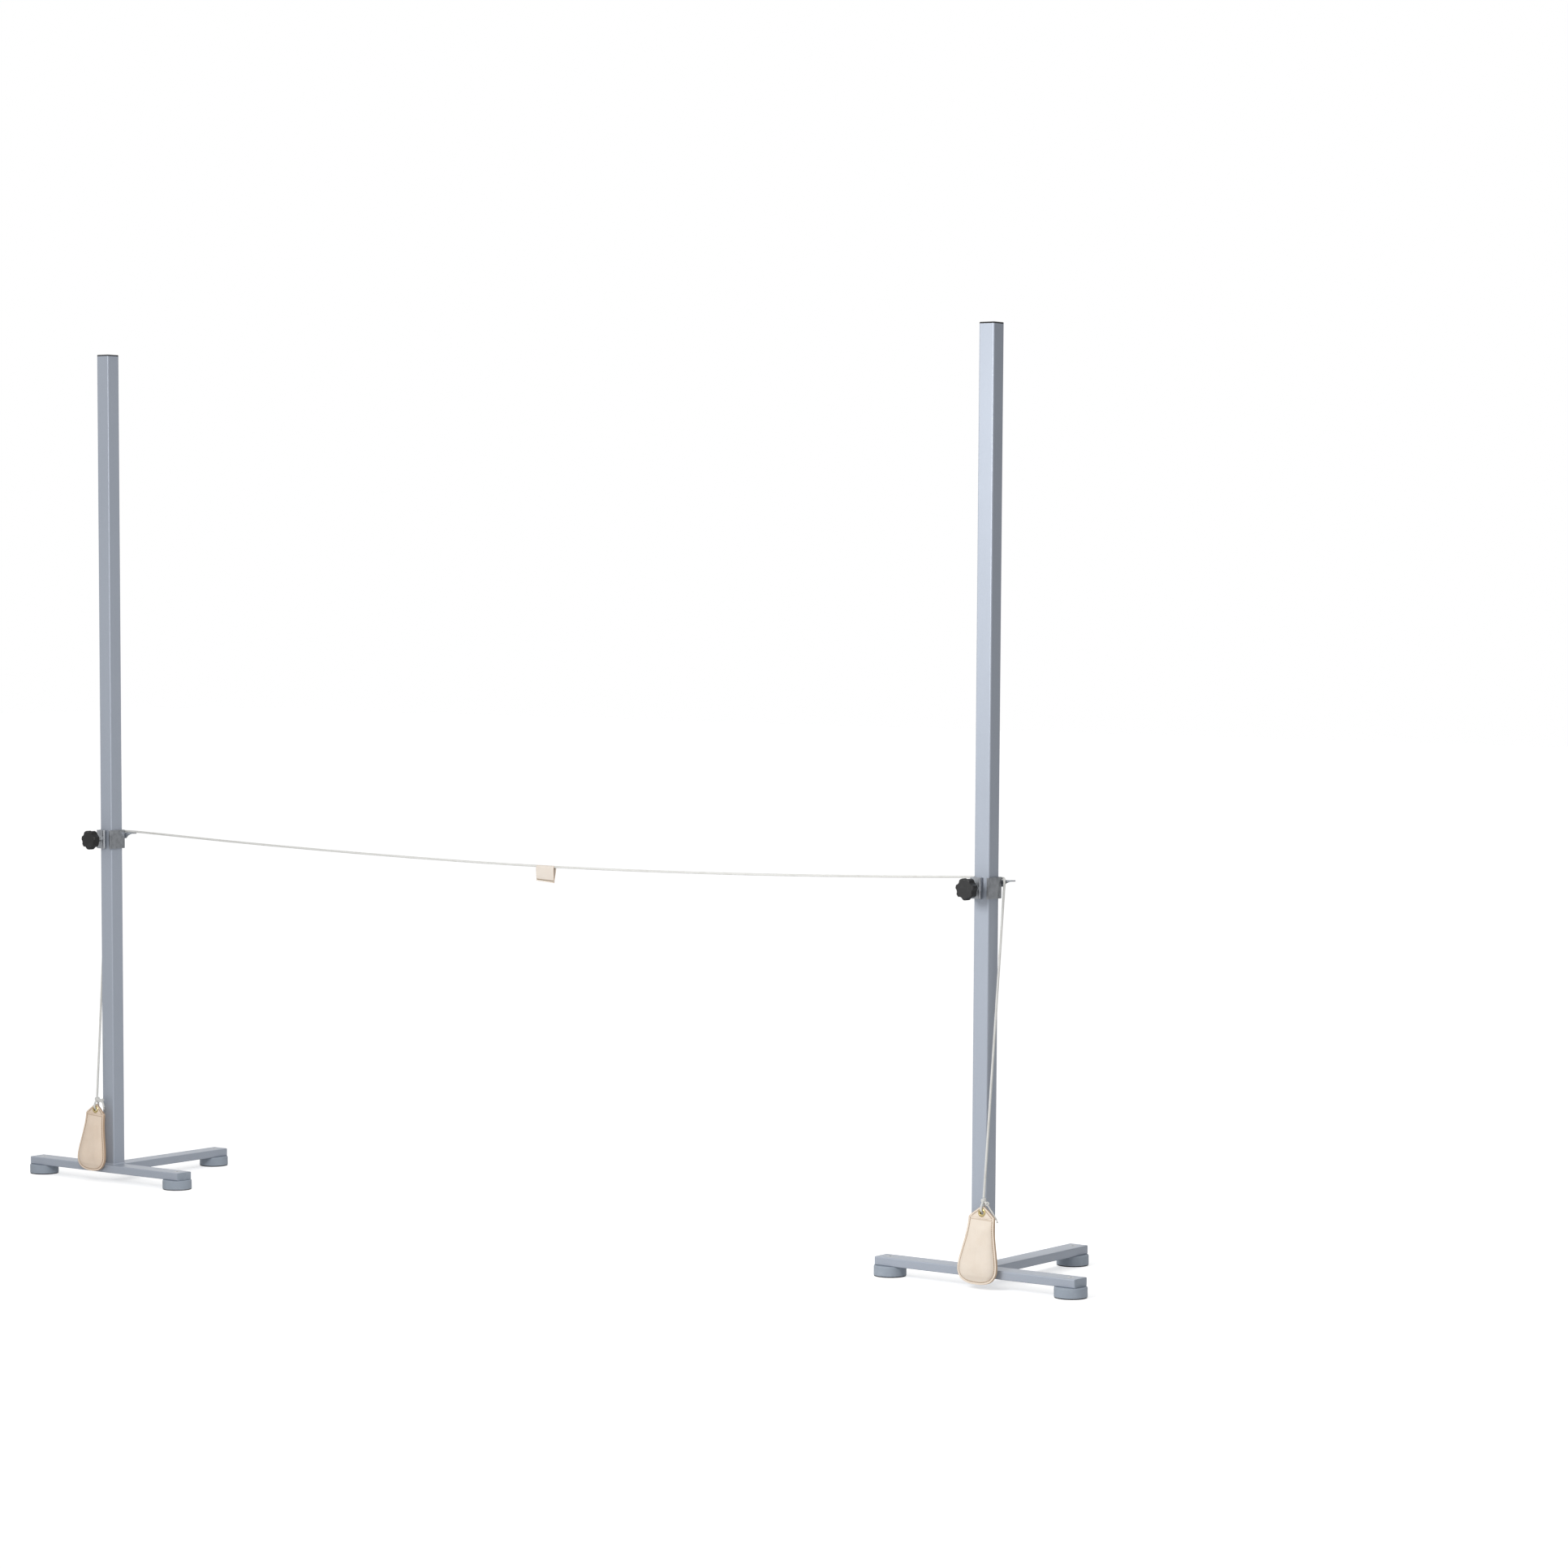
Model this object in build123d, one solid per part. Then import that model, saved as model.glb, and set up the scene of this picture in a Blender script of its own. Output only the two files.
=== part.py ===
from build123d import *
from math import atan2, cos, pi, radians, sin, sqrt, tan
import os

os.makedirs("parts", exist_ok=True)

# Sizes are in millimetres. X runs from the left standard to the right one, Y to the back, Z up.
# Each standard is worked out about its own upright: x = 0 and y = 0 on the upright's axis,
# z = 0 on the floor.

# Where the standards stand
post_spacing = 2740.0
bar_ahead = 15.0            # the crossbar's centre line lies this far in front of the upright's axis

# Upright and its cap
post_side = 40.0
post_wall = 2.0
post_corner = 3.0
post_length = 2100.0
weld_size = 3.0             # legs of the weld around the upright's foot
weld_land = 0.4             # width of the weld's blunt top
cap_rim = 3.5
cap_depth = 25.0
cap_wall = 2.0
cap_bevel = 1.0
plug_gap = 0.15             # between a plug and the tube around it
least_corner = 0.4          # corner radius inside a tube or on a skirt, at least

# Base of flat tube
bar_length = 540.0
bar_depth = 50.0
bar_height = 20.0
bar_wall = 2.0
bar_corner = 2.5
leg_length = 390.0
plug_flange = 2.0
plug_depth = 14.0
plug_wall = 2.0
plug_bevel = 0.6

# Round feet and their screws
foot_diameter = 75.0
foot_height = 22.5
foot_edge = 3.0
foot_inset = 26.0
sole_height = 2.5
sole_step = 1.0             # the sole is this much smaller than the foot, all round
foot_screw_diameter = 8.0
foot_screw_head = 16.0
foot_screw_reach = 15.0     # depth of the screw in the foot
foot_screw_socket = 5.0     # across the flats
foot_screw_socket_depth = 2.5
screw_gap = 0.2
cut_past = 1.0              # how far a cut runs past the face it opens

# Slide sleeve, bent from flat steel
support_height = 897.0      # middle of the sleeve above the floor
sleeve_height = 48.0
strap = 5.0
strap_bend = 6.0            # outer bend radius
slide_gap = 1.0             # between the sleeve and the upright
pad_space = 6.0             # between the front flange and the upright
lip_edge = 4.0              # the return lip's outer face, from the upright's axis
lip_depth = 8.0

# Cord rest behind the sleeve
rest_plate = 3.0
rest_bend = 3.0
rest_drop = 7.5             # its top lies this far under the sleeve's top
rest_depth = 16.0
rest_reach = 50.0           # half its length
rest_end = 4.0              # width of its blunt wing tips
ear_depth = 15.0
ear_reach = 45.0
ear_waist = (34.0, 7.5)     # half length and depth where an ear's slope changes

# Clamp screw, nut, pad and star knob
screw_offset = -7.0         # the screw's axis, from the upright's axis
screw_diameter = 8.0
screw_bevel = 0.8
thread_gap = 0.05
flange_hole_gap = 0.5       # around the screw, where it passes the sleeve's flange
nut_width = 13.0            # across the flats
nut_height = 6.5
nut_bevel = 1.0
pad_diameter = 11.0
pad_thickness = 4.0
pad_bevel = 0.6
tip_diameter = 5.0
tip_length = 2.0
seat_gap = 0.3
knob_diameter = 50.0
knob_lobes = 7
knob_scallop = 9.0          # radius of the hollows between the lobes
knob_scallop_out = 4.0      # their centres lie this far outside the knob's edge
knob_head = 20.0
knob_cone = 8.0
knob_hub = 22.0
knob_hub_length = 4.0
knob_crown = 4.0
knob_shoulder = 2.0
knob_lobe_round = 2.0
knob_clear = 9.5            # thread left bare between the nut and the knob
insert_depth = 18.0

# Weight bags: height of the flap's tip above the floor, distance outwards from the upright, and tilt
bag_tip = {"left": 206.0, "right": 189.0}
bag_out = {"left": 24.0, "right": 24.0}
bag_lean = {"left": 4.5, "right": 6.5}     # degrees, the lower end forward
bag_roll = {"left": 3.5, "right": 1.5}     # degrees, the lower end to the left
grommet_y = -39.8
# Drop below the flap's tip, half width and half thickness of the pouch, from its top seam down
bag_profile = [
    (29.0, 34.0, 3.6), (60.0, 34.5, 10.0), (100.0, 42.0, 13.5), (138.0, 50.5, 14.0),
    (156.0, 48.0, 12.0), (170.0, 36.0, 7.5), (178.0, 14.0, 3.4)]
bag_flap = 6.0              # two layers of leather
bag_leather = 3.0
bag_seam = 6.0              # from the raw edge to the filling
fill_edge = 0.8
flap_round = 6.0
flap_tuck = 3.0
grommet_drop = 17.0         # from the flap's tip to the middle of the grommet
grommet_diameter = 20.0
grommet_bore = 10.0
grommet_lip = 1.2
grommet_wall = 1.0

# Cord, with its knots and its marker
cord_diameter = 5.5
knot_rise = 10.0            # the knot's middle above the flap's tip
knot_radius = 6.8
loop_gap = 1.5              # between the loop and the grommet's lip
loop_seat = 0.7
loop_neck = 3.0             # the loop's two ends, before and behind and under the knot's middle
loop_shoulder = 13.0        # where its sides turn down, under the knot's middle
knot_core_gap = 1.0         # the knot's core is this much smaller than its wraps
knot_wraps = [(30, 10), (-35, 50)]        # tilt of each wrap about X and Y, in degrees
tail_lump = 4.8
tail_points = {
    "left": [(13, 2, -3), (21, 4, -12), (25, 5, -22)],
    "right": [(8, 2, -7), (17, 5, -17), (25, 7, -28), (31, 8, -39)],
}
cord_outer = 34.0           # the cord's drop beside the sleeve, from the upright's axis
cord_front = 22.5           # where it bends over the rest, behind the upright's axis
cord_inner = 18.0
cord_behind = 33.5
cord_back = 33.2
cord_edge_arc = 7.0
arc_share = 0.45            # of the shorter run beside a corner that its arc takes up
cord_over_edge = 5.0        # heights of the cord's middle above the rest
cord_on_rest = 3.3
cord_at_tip = 3.2
cord_past_tip = 4.0
cord_gap = 0.3
marker_place = 70.0         # along X from the middle of the span
# Places along X, and how far the cord hangs there under the rest's top
cord_span = [(-900.0, 12.0), (-420.0, 23.7), (marker_place, 29.0), (560.0, 22.7), (980.0, 10.7)]
marker_length = 55.0
marker_height = 43.0
marker_leather = 2.0
marker_slack = 1.8
marker_seam = 9.0           # from the lower edge to the bottom of the fold's hollow
marker_fold = 0.5           # radius at the bottom of the hollow

# Worked out from the sizes above
bar_bottom = sole_height + foot_height
bar_top = bar_bottom + bar_height
bar_back = -bar_ahead + bar_depth / 2
leg_end = bar_back + leg_length
sleeve_half = post_side / 2 + slide_gap + strap
sleeve_front = -post_side / 2 - pad_space - strap
sleeve_top = support_height + sleeve_height / 2
rest_top = sleeve_top - rest_drop
nut_front = sleeve_front - nut_height
knob_back = nut_front - knob_clear
knob_front = knob_back - knob_hub_length - knob_cone - knob_head
pad_front = -post_side / 2 - seat_gap - pad_thickness
rear_reach = max(leg_end, leg_end - foot_inset + foot_diameter / 2)
middle_y = (knob_front + rear_reach) / 2
outward = {"left": -1, "right": 1}

foot_places = [
    (-bar_length / 2 + foot_inset, -bar_ahead),
    (bar_length / 2 - foot_inset, -bar_ahead),
    (0.0, leg_end - foot_inset),
]


# Shared shapes

def tube(width, depth, length, wall, corner):
    """A rectangular tube that stands on z = 0."""
    inner_corner = max(corner - wall, least_corner)
    section = RectangleRounded(width, depth, corner)
    section -= RectangleRounded(width - 2 * wall, depth - 2 * wall, inner_corner)
    return extrude(section, length)


def plug(width, depth, wall, flange, bevel, reach, skirt_wall, corner):
    """A hollow plug with its flange on z = 0, its skirt reaching down into a tube."""
    skirt_width = width - 2 * wall - 2 * plug_gap
    skirt_depth = depth - 2 * wall - 2 * plug_gap
    inner_corner = max(corner - wall, least_corner)
    skirt = RectangleRounded(skirt_width, skirt_depth, inner_corner)
    skirt -= Rectangle(skirt_width - 2 * skirt_wall, skirt_depth - 2 * skirt_wall)
    head = extrude(RectangleRounded(width, depth, corner), flange)
    head = chamfer(head.faces().sort_by(Axis.Z)[-1].edges(), bevel)
    return head + extrude(skirt, -reach)


def turned(points):
    """A solid turned about the Z axis from its half section of (radius, height) points."""
    section = make_face((Plane.XZ * Polyline(*points, close=True)).edges())
    return revolve(section, Axis.Z)


def facing_front(shape):
    """Turns a shape that points up so that it points to the front, along -Y."""
    return Rot(90, 0, 0) * shape


def facing_back(shape):
    """Turns a shape that points up so that it points to the back, along +Y."""
    return Rot(-90, 0, 0) * shape


# Base, upright and feet

def foot_screw_cut():
    """The countersunk hole through a flat tube, with its top at z = 0."""
    bore = foot_screw_diameter / 2 + screw_gap
    head = foot_screw_head / 2 + screw_gap
    depth = bar_height + cut_past
    return turned([
        (0, cut_past), (head, cut_past), (head, 0), (bore, bore - head), (bore, -depth), (0, -depth)])


def crossbar():
    length = bar_length - 2 * plug_flange
    bar = tube(bar_height, bar_depth, length, bar_wall, bar_corner)
    bar = Pos(-length / 2, -bar_ahead, bar_bottom + bar_height / 2) * Rot(0, 90, 0) * bar
    for x, y in foot_places[:2]:
        bar -= Pos(x, y, bar_top) * foot_screw_cut()
    return bar + Pos(0, 0, bar_top) * weld()


def weld():
    """The weld around the upright's foot, which rests on z = 0."""
    side = post_side + 2 * weld_size
    bead = extrude(RectangleRounded(side, side, post_corner + weld_size), weld_size - weld_land, taper=45)
    return bead - extrude(RectangleRounded(post_side, post_side, post_corner), weld_size)


def rear_leg():
    length = leg_length - plug_flange
    leg = tube(bar_depth, bar_height, length, bar_wall, bar_corner)
    leg = Pos(0, bar_back, bar_bottom + bar_height / 2) * facing_back(leg)
    x, y = foot_places[2]
    return leg - Pos(x, y, bar_top) * foot_screw_cut()


def end_plugs():
    end = plug(
        bar_depth, bar_height, bar_wall, plug_flange, plug_bevel, plug_depth, plug_wall, bar_corner)
    middle = bar_bottom + bar_height / 2
    side_end = bar_length / 2 - plug_flange
    right = Pos(side_end, -bar_ahead, middle) * Rot(0, 0, -90) * facing_back(end)
    left = Pos(-side_end, -bar_ahead, middle) * Rot(0, 0, 90) * facing_back(end)
    rear = Pos(0, leg_end - plug_flange, middle) * facing_back(end)
    return [left, right, rear]


def foot():
    bore = foot_screw_diameter / 2 + screw_gap
    body = Pos(0, 0, sole_height) * Cylinder(
        foot_diameter / 2, foot_height, align=(Align.CENTER, Align.CENTER, Align.MIN))
    body = fillet(body.edges().sort_by(Axis.Z)[-1], foot_edge)
    depth = foot_screw_reach + cut_past
    return body - Pos(0, 0, bar_bottom - depth) * Cylinder(
        bore, depth, align=(Align.CENTER, Align.CENTER, Align.MIN))


def foot_pad():
    radius = foot_diameter / 2 - sole_step
    return Cylinder(radius, sole_height, align=(Align.CENTER, Align.CENTER, Align.MIN))


def foot_screw():
    """Countersunk screw with its flat head on z = 0."""
    head = foot_screw_head / 2
    shank = foot_screw_diameter / 2
    reach = bar_height + foot_screw_reach
    body = turned([(0, 0), (head, 0), (shank, shank - head), (shank, -reach), (0, -reach)])
    socket = RegularPolygon(foot_screw_socket / 2, 6, major_radius=False)
    return body - extrude(socket, -foot_screw_socket_depth)


def upright():
    return Pos(0, 0, bar_top) * tube(post_side, post_side, post_length, post_wall, post_corner)


def upright_cap():
    cap = plug(post_side, post_side, post_wall, cap_rim, cap_bevel, cap_depth, cap_wall, post_corner)
    return Pos(0, 0, bar_top + post_length) * cap


# The support that slides on the upright

def slide_sleeve():
    """Flat steel bent round the upright, open at the front right, with a return lip at the opening."""
    outline = FilletPolyline(
        (sleeve_half, sleeve_front), (sleeve_half, sleeve_half), (-sleeve_half, sleeve_half),
        (-sleeve_half, sleeve_front), (lip_edge, sleeve_front), (lip_edge, sleeve_front + lip_depth),
        radius=strap_bend)
    strip = make_face(offset(outline, amount=strap, side=Side.RIGHT))
    sleeve = Pos(0, 0, support_height - sleeve_height / 2) * extrude(strip, sleeve_height)
    hole = facing_front(Cylinder(screw_diameter / 2 + flange_hole_gap, 2 * strap))
    return sleeve - Pos(screw_offset, sleeve_front + strap / 2, support_height) * hole


def cord_rest():
    """Bent plate behind the sleeve: a flange with two wings, over a leg with two tapering ears."""
    front = sleeve_half
    back = front + rest_depth
    flange = Polyline(
        (-rest_reach, back), (-rest_reach, back - rest_end), (-ear_reach, front), (ear_reach, front),
        (rest_reach, back - rest_end), (rest_reach, back), close=True)
    flange = Pos(0, 0, rest_top - rest_plate) * extrude(make_face(flange), rest_plate)
    waist, waist_depth = ear_waist
    ears = Polyline(
        (-ear_reach, 0), (-ear_reach, -rest_plate), (-waist, -waist_depth), (-sleeve_half, -ear_depth),
        (sleeve_half, -ear_depth), (waist, -waist_depth), (ear_reach, -rest_plate), (ear_reach, 0),
        close=True)
    upright_plane = Plane((0, front, rest_top), x_dir=(1, 0, 0), z_dir=(0, -1, 0))
    leg = extrude(upright_plane * make_face(ears), -rest_plate)
    rest = flange + leg
    bend = rest.edges().filter_by(Axis.X).group_by(Axis.Z)[-1].sort_by(Axis.Y)[0]
    return fillet(bend, rest_bend)


def weld_nut():
    nut = extrude(RegularPolygon(nut_width / 2, 6, major_radius=False), nut_height)
    corner = nut_width / sqrt(3)
    nut = nut & turned([
        (0, 0), (corner, 0), (corner, nut_height - nut_bevel), (nut_width / 2, nut_height), (0, nut_height)])
    nut -= Cylinder(screw_diameter / 2 + thread_gap, 3 * nut_height)
    return Pos(screw_offset, sleeve_front, support_height) * facing_front(nut)


def pressure_pad():
    """Its face towards the upright, with a socket for the screw's tip."""
    radius = pad_diameter / 2
    socket = tip_diameter / 2 + thread_gap
    depth = tip_length + seat_gap
    pad = turned([
        (0, 0), (radius - pad_bevel, 0), (radius, pad_bevel), (radius, pad_thickness),
        (socket, pad_thickness), (socket, pad_thickness - depth), (0, pad_thickness - depth)])
    return Pos(screw_offset, -post_side / 2 - seat_gap, support_height) * facing_front(pad)


def clamp_screw():
    """The stud, from its tip in the pad to its end inside the knob."""
    shoulder = pad_front - seat_gap
    length = shoulder - (knob_back - insert_depth)
    tip = tip_diameter / 2
    shank = screw_diameter / 2
    stud = turned([
        (0, -tip_length), (tip, -tip_length), (tip, 0), (shank - screw_bevel, 0), (shank, screw_bevel),
        (shank, length), (0, length)])
    return Pos(screw_offset, shoulder, support_height) * facing_front(stud)


def knob():
    """Star knob: a scalloped prism trimmed by a turned profile, with its hub towards the upright."""
    radius = knob_diameter / 2
    hub = knob_hub / 2
    cone_end = knob_hub_length + knob_cone
    depth = cone_end + knob_head
    star = Circle(radius)
    for number in range(knob_lobes):
        angle = radians(number * 360 / knob_lobes + 90)
        reach = radius + knob_scallop_out
        star -= Pos(reach * cos(angle), reach * sin(angle)) * Circle(knob_scallop)
    star = fillet(star.vertices(), knob_lobe_round)
    body = turned([
        (0, 0), (hub, 0), (hub, knob_hub_length), (radius - knob_shoulder, cone_end),
        (radius, cone_end + knob_shoulder), (radius, depth), (0, depth)])
    body = fillet(body.edges().filter_by(GeomType.CIRCLE).sort_by(Axis.Z)[-1], knob_crown)
    body = body & extrude(star, depth)
    body -= Cylinder(screw_diameter / 2, insert_depth, align=(Align.CENTER, Align.CENTER, Align.MIN))
    return Pos(screw_offset, knob_back, support_height) * facing_front(body)


# Weight bags, worked out about the middle of the grommet and then leant on the crossbar

def pouch_section(drop, half_width, half_thickness, half_seam):
    """One level section of the pouch: two bowed faces that meet in a thin seam on each side."""
    z = grommet_drop - drop
    right, left = (half_width, half_seam, z), (-half_width, half_seam, z)
    right_back, left_back = (half_width, -half_seam, z), (-half_width, -half_seam, z)
    return make_face([
        Line(right_back, right), ThreePointArc(right, (0, half_thickness, z), left),
        Line(left, left_back), ThreePointArc(left_back, (0, -half_thickness, z), right_back)])


def filling():
    """The weight inside the pouch, which leaves a flat seam all round."""
    return loft([
        pouch_section(drop, width - bag_seam, thickness - bag_leather, fill_edge)
        for drop, width, thickness in bag_profile[1:-1]])


def bag():
    pouch = loft([pouch_section(*level, bag_flap / 2) for level in bag_profile])
    shoulder, seam_drop = bag_profile[0][1], bag_profile[0][0]
    half_tip = atan2(shoulder, seam_drop)
    tip = grommet_drop + flap_round * (1 / sin(half_tip) - 1)
    low = grommet_drop - seam_drop
    outline = make_face(Polyline(
        (-shoulder, low - flap_tuck), (shoulder, low - flap_tuck), (shoulder, low), (0, tip),
        (-shoulder, low), close=True))
    outline = fillet(outline.vertices().sort_by(Axis.Y)[-1], flap_round)
    flap = extrude(Plane.XZ * outline, bag_flap / 2, both=True)
    eyelet = facing_front(Cylinder(grommet_bore / 2 + grommet_wall, 2 * bag_flap))
    return pouch + flap - eyelet - filling()


def grommet():
    bore = grommet_bore / 2
    rim = grommet_diameter / 2
    wall = bore + grommet_wall
    face = bag_flap / 2
    out = face + grommet_lip
    bevel = grommet_lip / 2
    return facing_front(turned([
        (bore, -out), (rim - bevel, -out), (rim, -out + bevel), (rim, -face), (wall, -face),
        (wall, face), (rim, face), (rim, out - bevel), (rim - bevel, out), (bore, out)]))


def cord_tube(path):
    return sweep(Plane(origin=path @ 0, z_dir=path % 0) * Circle(cord_diameter / 2), path=path)


def knot(side):
    """The loop through the grommet, the knot over it and the short tail."""
    centre = grommet_drop + knot_rise
    strand = bag_flap / 2 + grommet_lip + cord_diameter / 2 + loop_gap
    low = (grommet_bore - cord_diameter) / 2 - loop_seat
    loop = FilletPolyline(
        (0, -loop_neck, centre - loop_neck), (0, -strand, centre - loop_shoulder), (0, -strand, low),
        (0, strand, low), (0, strand, centre - loop_shoulder), (0, loop_neck, centre - loop_neck),
        radius=cord_diameter)
    wrap = Torus(knot_radius - cord_diameter / 2, cord_diameter / 2)
    turns = Sphere(knot_radius - knot_core_gap)
    for tilt_x, tilt_y in knot_wraps:
        turns += Rot(tilt_x, tilt_y, 0) * wrap
    tail = FilletPolyline(*[(0, 0, 0)] + tail_points[side], radius=cord_diameter)
    tied = Pos(0, 0, centre) * (turns + cord_tube(tail) + Pos(*tail_points[side][0]) * Sphere(tail_lump))
    return tied + cord_tube(loop)


def hung(shape, side):
    """Puts a piece of a bag in its place, leaning on the crossbar."""
    x = bag_out[side] * outward[side]
    tilt = Rot(-bag_lean[side], bag_roll[side], 0)
    return Pos(x, grommet_y, bag_tip[side] - grommet_drop) * tilt * shape


# The cord over both standards, in the whole object's X, Y and Z

def knot_place(side):
    middle = hung(Pos(0, 0, grommet_drop + knot_rise), side).position
    return middle + Vector(outward[side] * post_spacing / 2, 0, 0)


def cord_points():
    """The cord's route from the left knot to the right knot."""
    ends = {}
    for side, sign in outward.items():
        edge = Vector(sign * (post_spacing / 2 + cord_outer), cord_front, rest_top + cord_over_edge)
        turn = Vector(sign * (post_spacing / 2 + cord_inner), cord_behind, rest_top + cord_on_rest)
        past_wing = sign * (post_spacing / 2 - rest_reach - cord_past_tip)
        wing = Vector(past_wing, cord_back, rest_top + cord_at_tip)
        place = knot_place(side)
        start = place + (edge - place).normalized() * (knot_radius + seat_gap)
        ends[side] = [start, edge, turn, wing]
    span = [Vector(x, cord_back, rest_top - sag) for x, sag in cord_span]
    return ends["left"] + span + ends["right"][::-1]


def turn_angle(before, here, after):
    return radians((here - before).get_angle(after - here))


def bend_radii(points):
    """Each corner's arc is as large as its two runs allow, but the size of the edge at the drops."""
    radii = []
    for before, here, after in zip(points, points[1:], points[2:]):
        run = min((here - before).length, (after - here).length)
        radii.append(arc_share * run / tan(turn_angle(before, here, after) / 2))
    radii[0] = radii[-1] = cord_edge_arc
    return radii


def jump_cord():
    points = cord_points()
    radii = bend_radii(points)
    path = FilletPolyline(*points, radius=radii)
    tube_solid = cord_tube(path)
    section = pi * (cord_diameter / 2) ** 2
    print("cord length", round(path.length, 1), "volume / (section x length)",
          round(tube_solid.volume / (section * path.length), 4))
    print("cord radii", [round(radius, 1) for radius in radii])
    return tube_solid


def cord_marker():
    """Folded leather tag that hangs over the cord, stitched together near its lower edge."""
    points = cord_points()
    index = [point.X for point in points].index(marker_place)
    before, here, after = points[index - 1:index + 2]
    half_turn = turn_angle(before, here, after) / 2
    rise = bend_radii(points)[index - 1] * (1 / cos(half_turn) - 1)
    inner = cord_diameter / 2 + marker_slack
    outer = inner + marker_leather
    hang = -(inner - cord_diameter / 2 - cord_gap)
    low = outer - marker_height
    profile = make_hull([
        *Circle(outer).edges(), *(Pos(0, low + marker_leather) * Circle(marker_leather)).edges()])
    profile -= make_hull([
        *Circle(inner).edges(), *(Pos(0, low + marker_seam) * Circle(marker_fold)).edges()])
    tag = extrude(Plane.YZ * profile, marker_length / 2, both=True)
    return Pos(here.X, here.Y, here.Z + rise + hang) * tag


def save(name, shapes):
    """Writes one node, moved so that the middle of the whole object's box is over the origin."""
    solids = shapes if isinstance(shapes, list) else [shapes]
    placed = [Pos(0, -middle_y, 0) * solid for solid in solids]
    whole = placed[0] if len(placed) == 1 else Compound(children=placed)
    export_step(whole, f"parts/{name}.step")


def standard(side):
    """Every piece of one standard, about its own upright."""
    return {
        "upright": upright(),
        "upright_cap": upright_cap(),
        "crossbar": crossbar(),
        "rear_leg": rear_leg(),
        "end_plugs": end_plugs(),
        "feet": [Pos(x, y, 0) * foot() for x, y in foot_places],
        "foot_pads": [Pos(x, y, 0) * foot_pad() for x, y in foot_places],
        "foot_screws": [Pos(x, y, bar_top) * foot_screw() for x, y in foot_places],
        "slide_sleeve": slide_sleeve(),
        "cord_rest": cord_rest(),
        "weld_nut": weld_nut(),
        "pressure_pad": pressure_pad(),
        "clamp_screw": clamp_screw(),
        "knob": knob(),
        "bag": hung(bag(), side),
        "bag_weight": hung(filling(), side),
        "grommet": hung(grommet(), side),
        "knot": hung(knot(side), side),
    }


for side_name, side_sign in outward.items():
    shift = Pos(side_sign * post_spacing / 2, 0, 0)
    for piece, shapes in standard(side_name).items():
        solids = shapes if isinstance(shapes, list) else [shapes]
        save(f"{side_name}_{piece}", [shift * solid for solid in solids])

save("jump_cord", jump_cord())
save("cord_marker", cord_marker())
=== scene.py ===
# %% [markdown]
# # High jump standards
# A pair of free-standing square uprights, each on a flat steel base with three round feet. A sleeve slides on
# each upright and a star knob clamps it. A white cord lies over a rest behind each sleeve, hangs down beside
# the upright and carries a stitched leather bag filled with sand. The measured model gives every size and
# place, and this notebook gives each surface its finish and makes the soft and fine pieces by mesh modelling.
# %% Load the measured model
from math import ceil, cos, exp, hypot, pi, radians, sin

import bmesh
import bpy
from mathutils import Matrix, Vector, noise


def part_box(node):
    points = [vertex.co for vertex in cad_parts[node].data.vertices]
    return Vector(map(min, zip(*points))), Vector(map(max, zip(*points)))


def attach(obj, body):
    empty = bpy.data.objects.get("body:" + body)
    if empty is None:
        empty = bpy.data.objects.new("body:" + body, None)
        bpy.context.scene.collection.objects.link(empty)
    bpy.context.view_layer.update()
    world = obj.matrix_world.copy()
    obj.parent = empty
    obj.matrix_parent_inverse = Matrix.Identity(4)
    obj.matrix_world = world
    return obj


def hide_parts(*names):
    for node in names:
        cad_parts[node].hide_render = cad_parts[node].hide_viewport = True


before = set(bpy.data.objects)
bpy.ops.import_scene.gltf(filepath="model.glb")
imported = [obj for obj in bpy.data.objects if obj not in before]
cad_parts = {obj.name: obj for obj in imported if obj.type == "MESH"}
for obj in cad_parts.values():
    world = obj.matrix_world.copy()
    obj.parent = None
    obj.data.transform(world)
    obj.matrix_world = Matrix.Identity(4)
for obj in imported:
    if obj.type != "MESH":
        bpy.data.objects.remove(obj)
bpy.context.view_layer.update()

MM = 0.001


def into_scene(name, data):
    """A new object of the scene that shows this data."""
    thing = bpy.data.objects.new(name, data)
    bpy.context.scene.collection.objects.link(thing)
    return thing


def unit(value):
    """The value, held between 0 and 1."""
    return min(max(value, 0), 1)


# %% [markdown]
# ## The camera
# The photograph was taken from the right, a little above the cord, with a long lens. The picture was then
# cropped with its middle below the lens's axis, which a vertical shift of the camera repeats. The values were
# found by fitting the corners of both uprights and bases.
# %% Camera
IMAGE_SIDE = 1932
FOCAL_PIXELS = 5314.67
AXIS_PIXEL_Y = 1159.2
CAMERA_PLACE = Vector((6.7030, -8.1653, 1.5780))
CAMERA_YAW, CAMERA_PITCH, CAMERA_ROLL = 0.634968, 0.083382, 0.005313


def camera_turn():
    """The camera's own axes as the columns of a matrix: right, up and backwards."""
    forward = Vector((
        -sin(CAMERA_YAW) * cos(CAMERA_PITCH), cos(CAMERA_YAW) * cos(CAMERA_PITCH), -sin(CAMERA_PITCH)))
    level = forward.cross(Vector((0, 0, 1))).normalized()
    above = level.cross(forward)
    right = level * cos(CAMERA_ROLL) + above * sin(CAMERA_ROLL)
    up = above * cos(CAMERA_ROLL) - level * sin(CAMERA_ROLL)
    return Matrix((right, up, -forward)).transposed()


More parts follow.
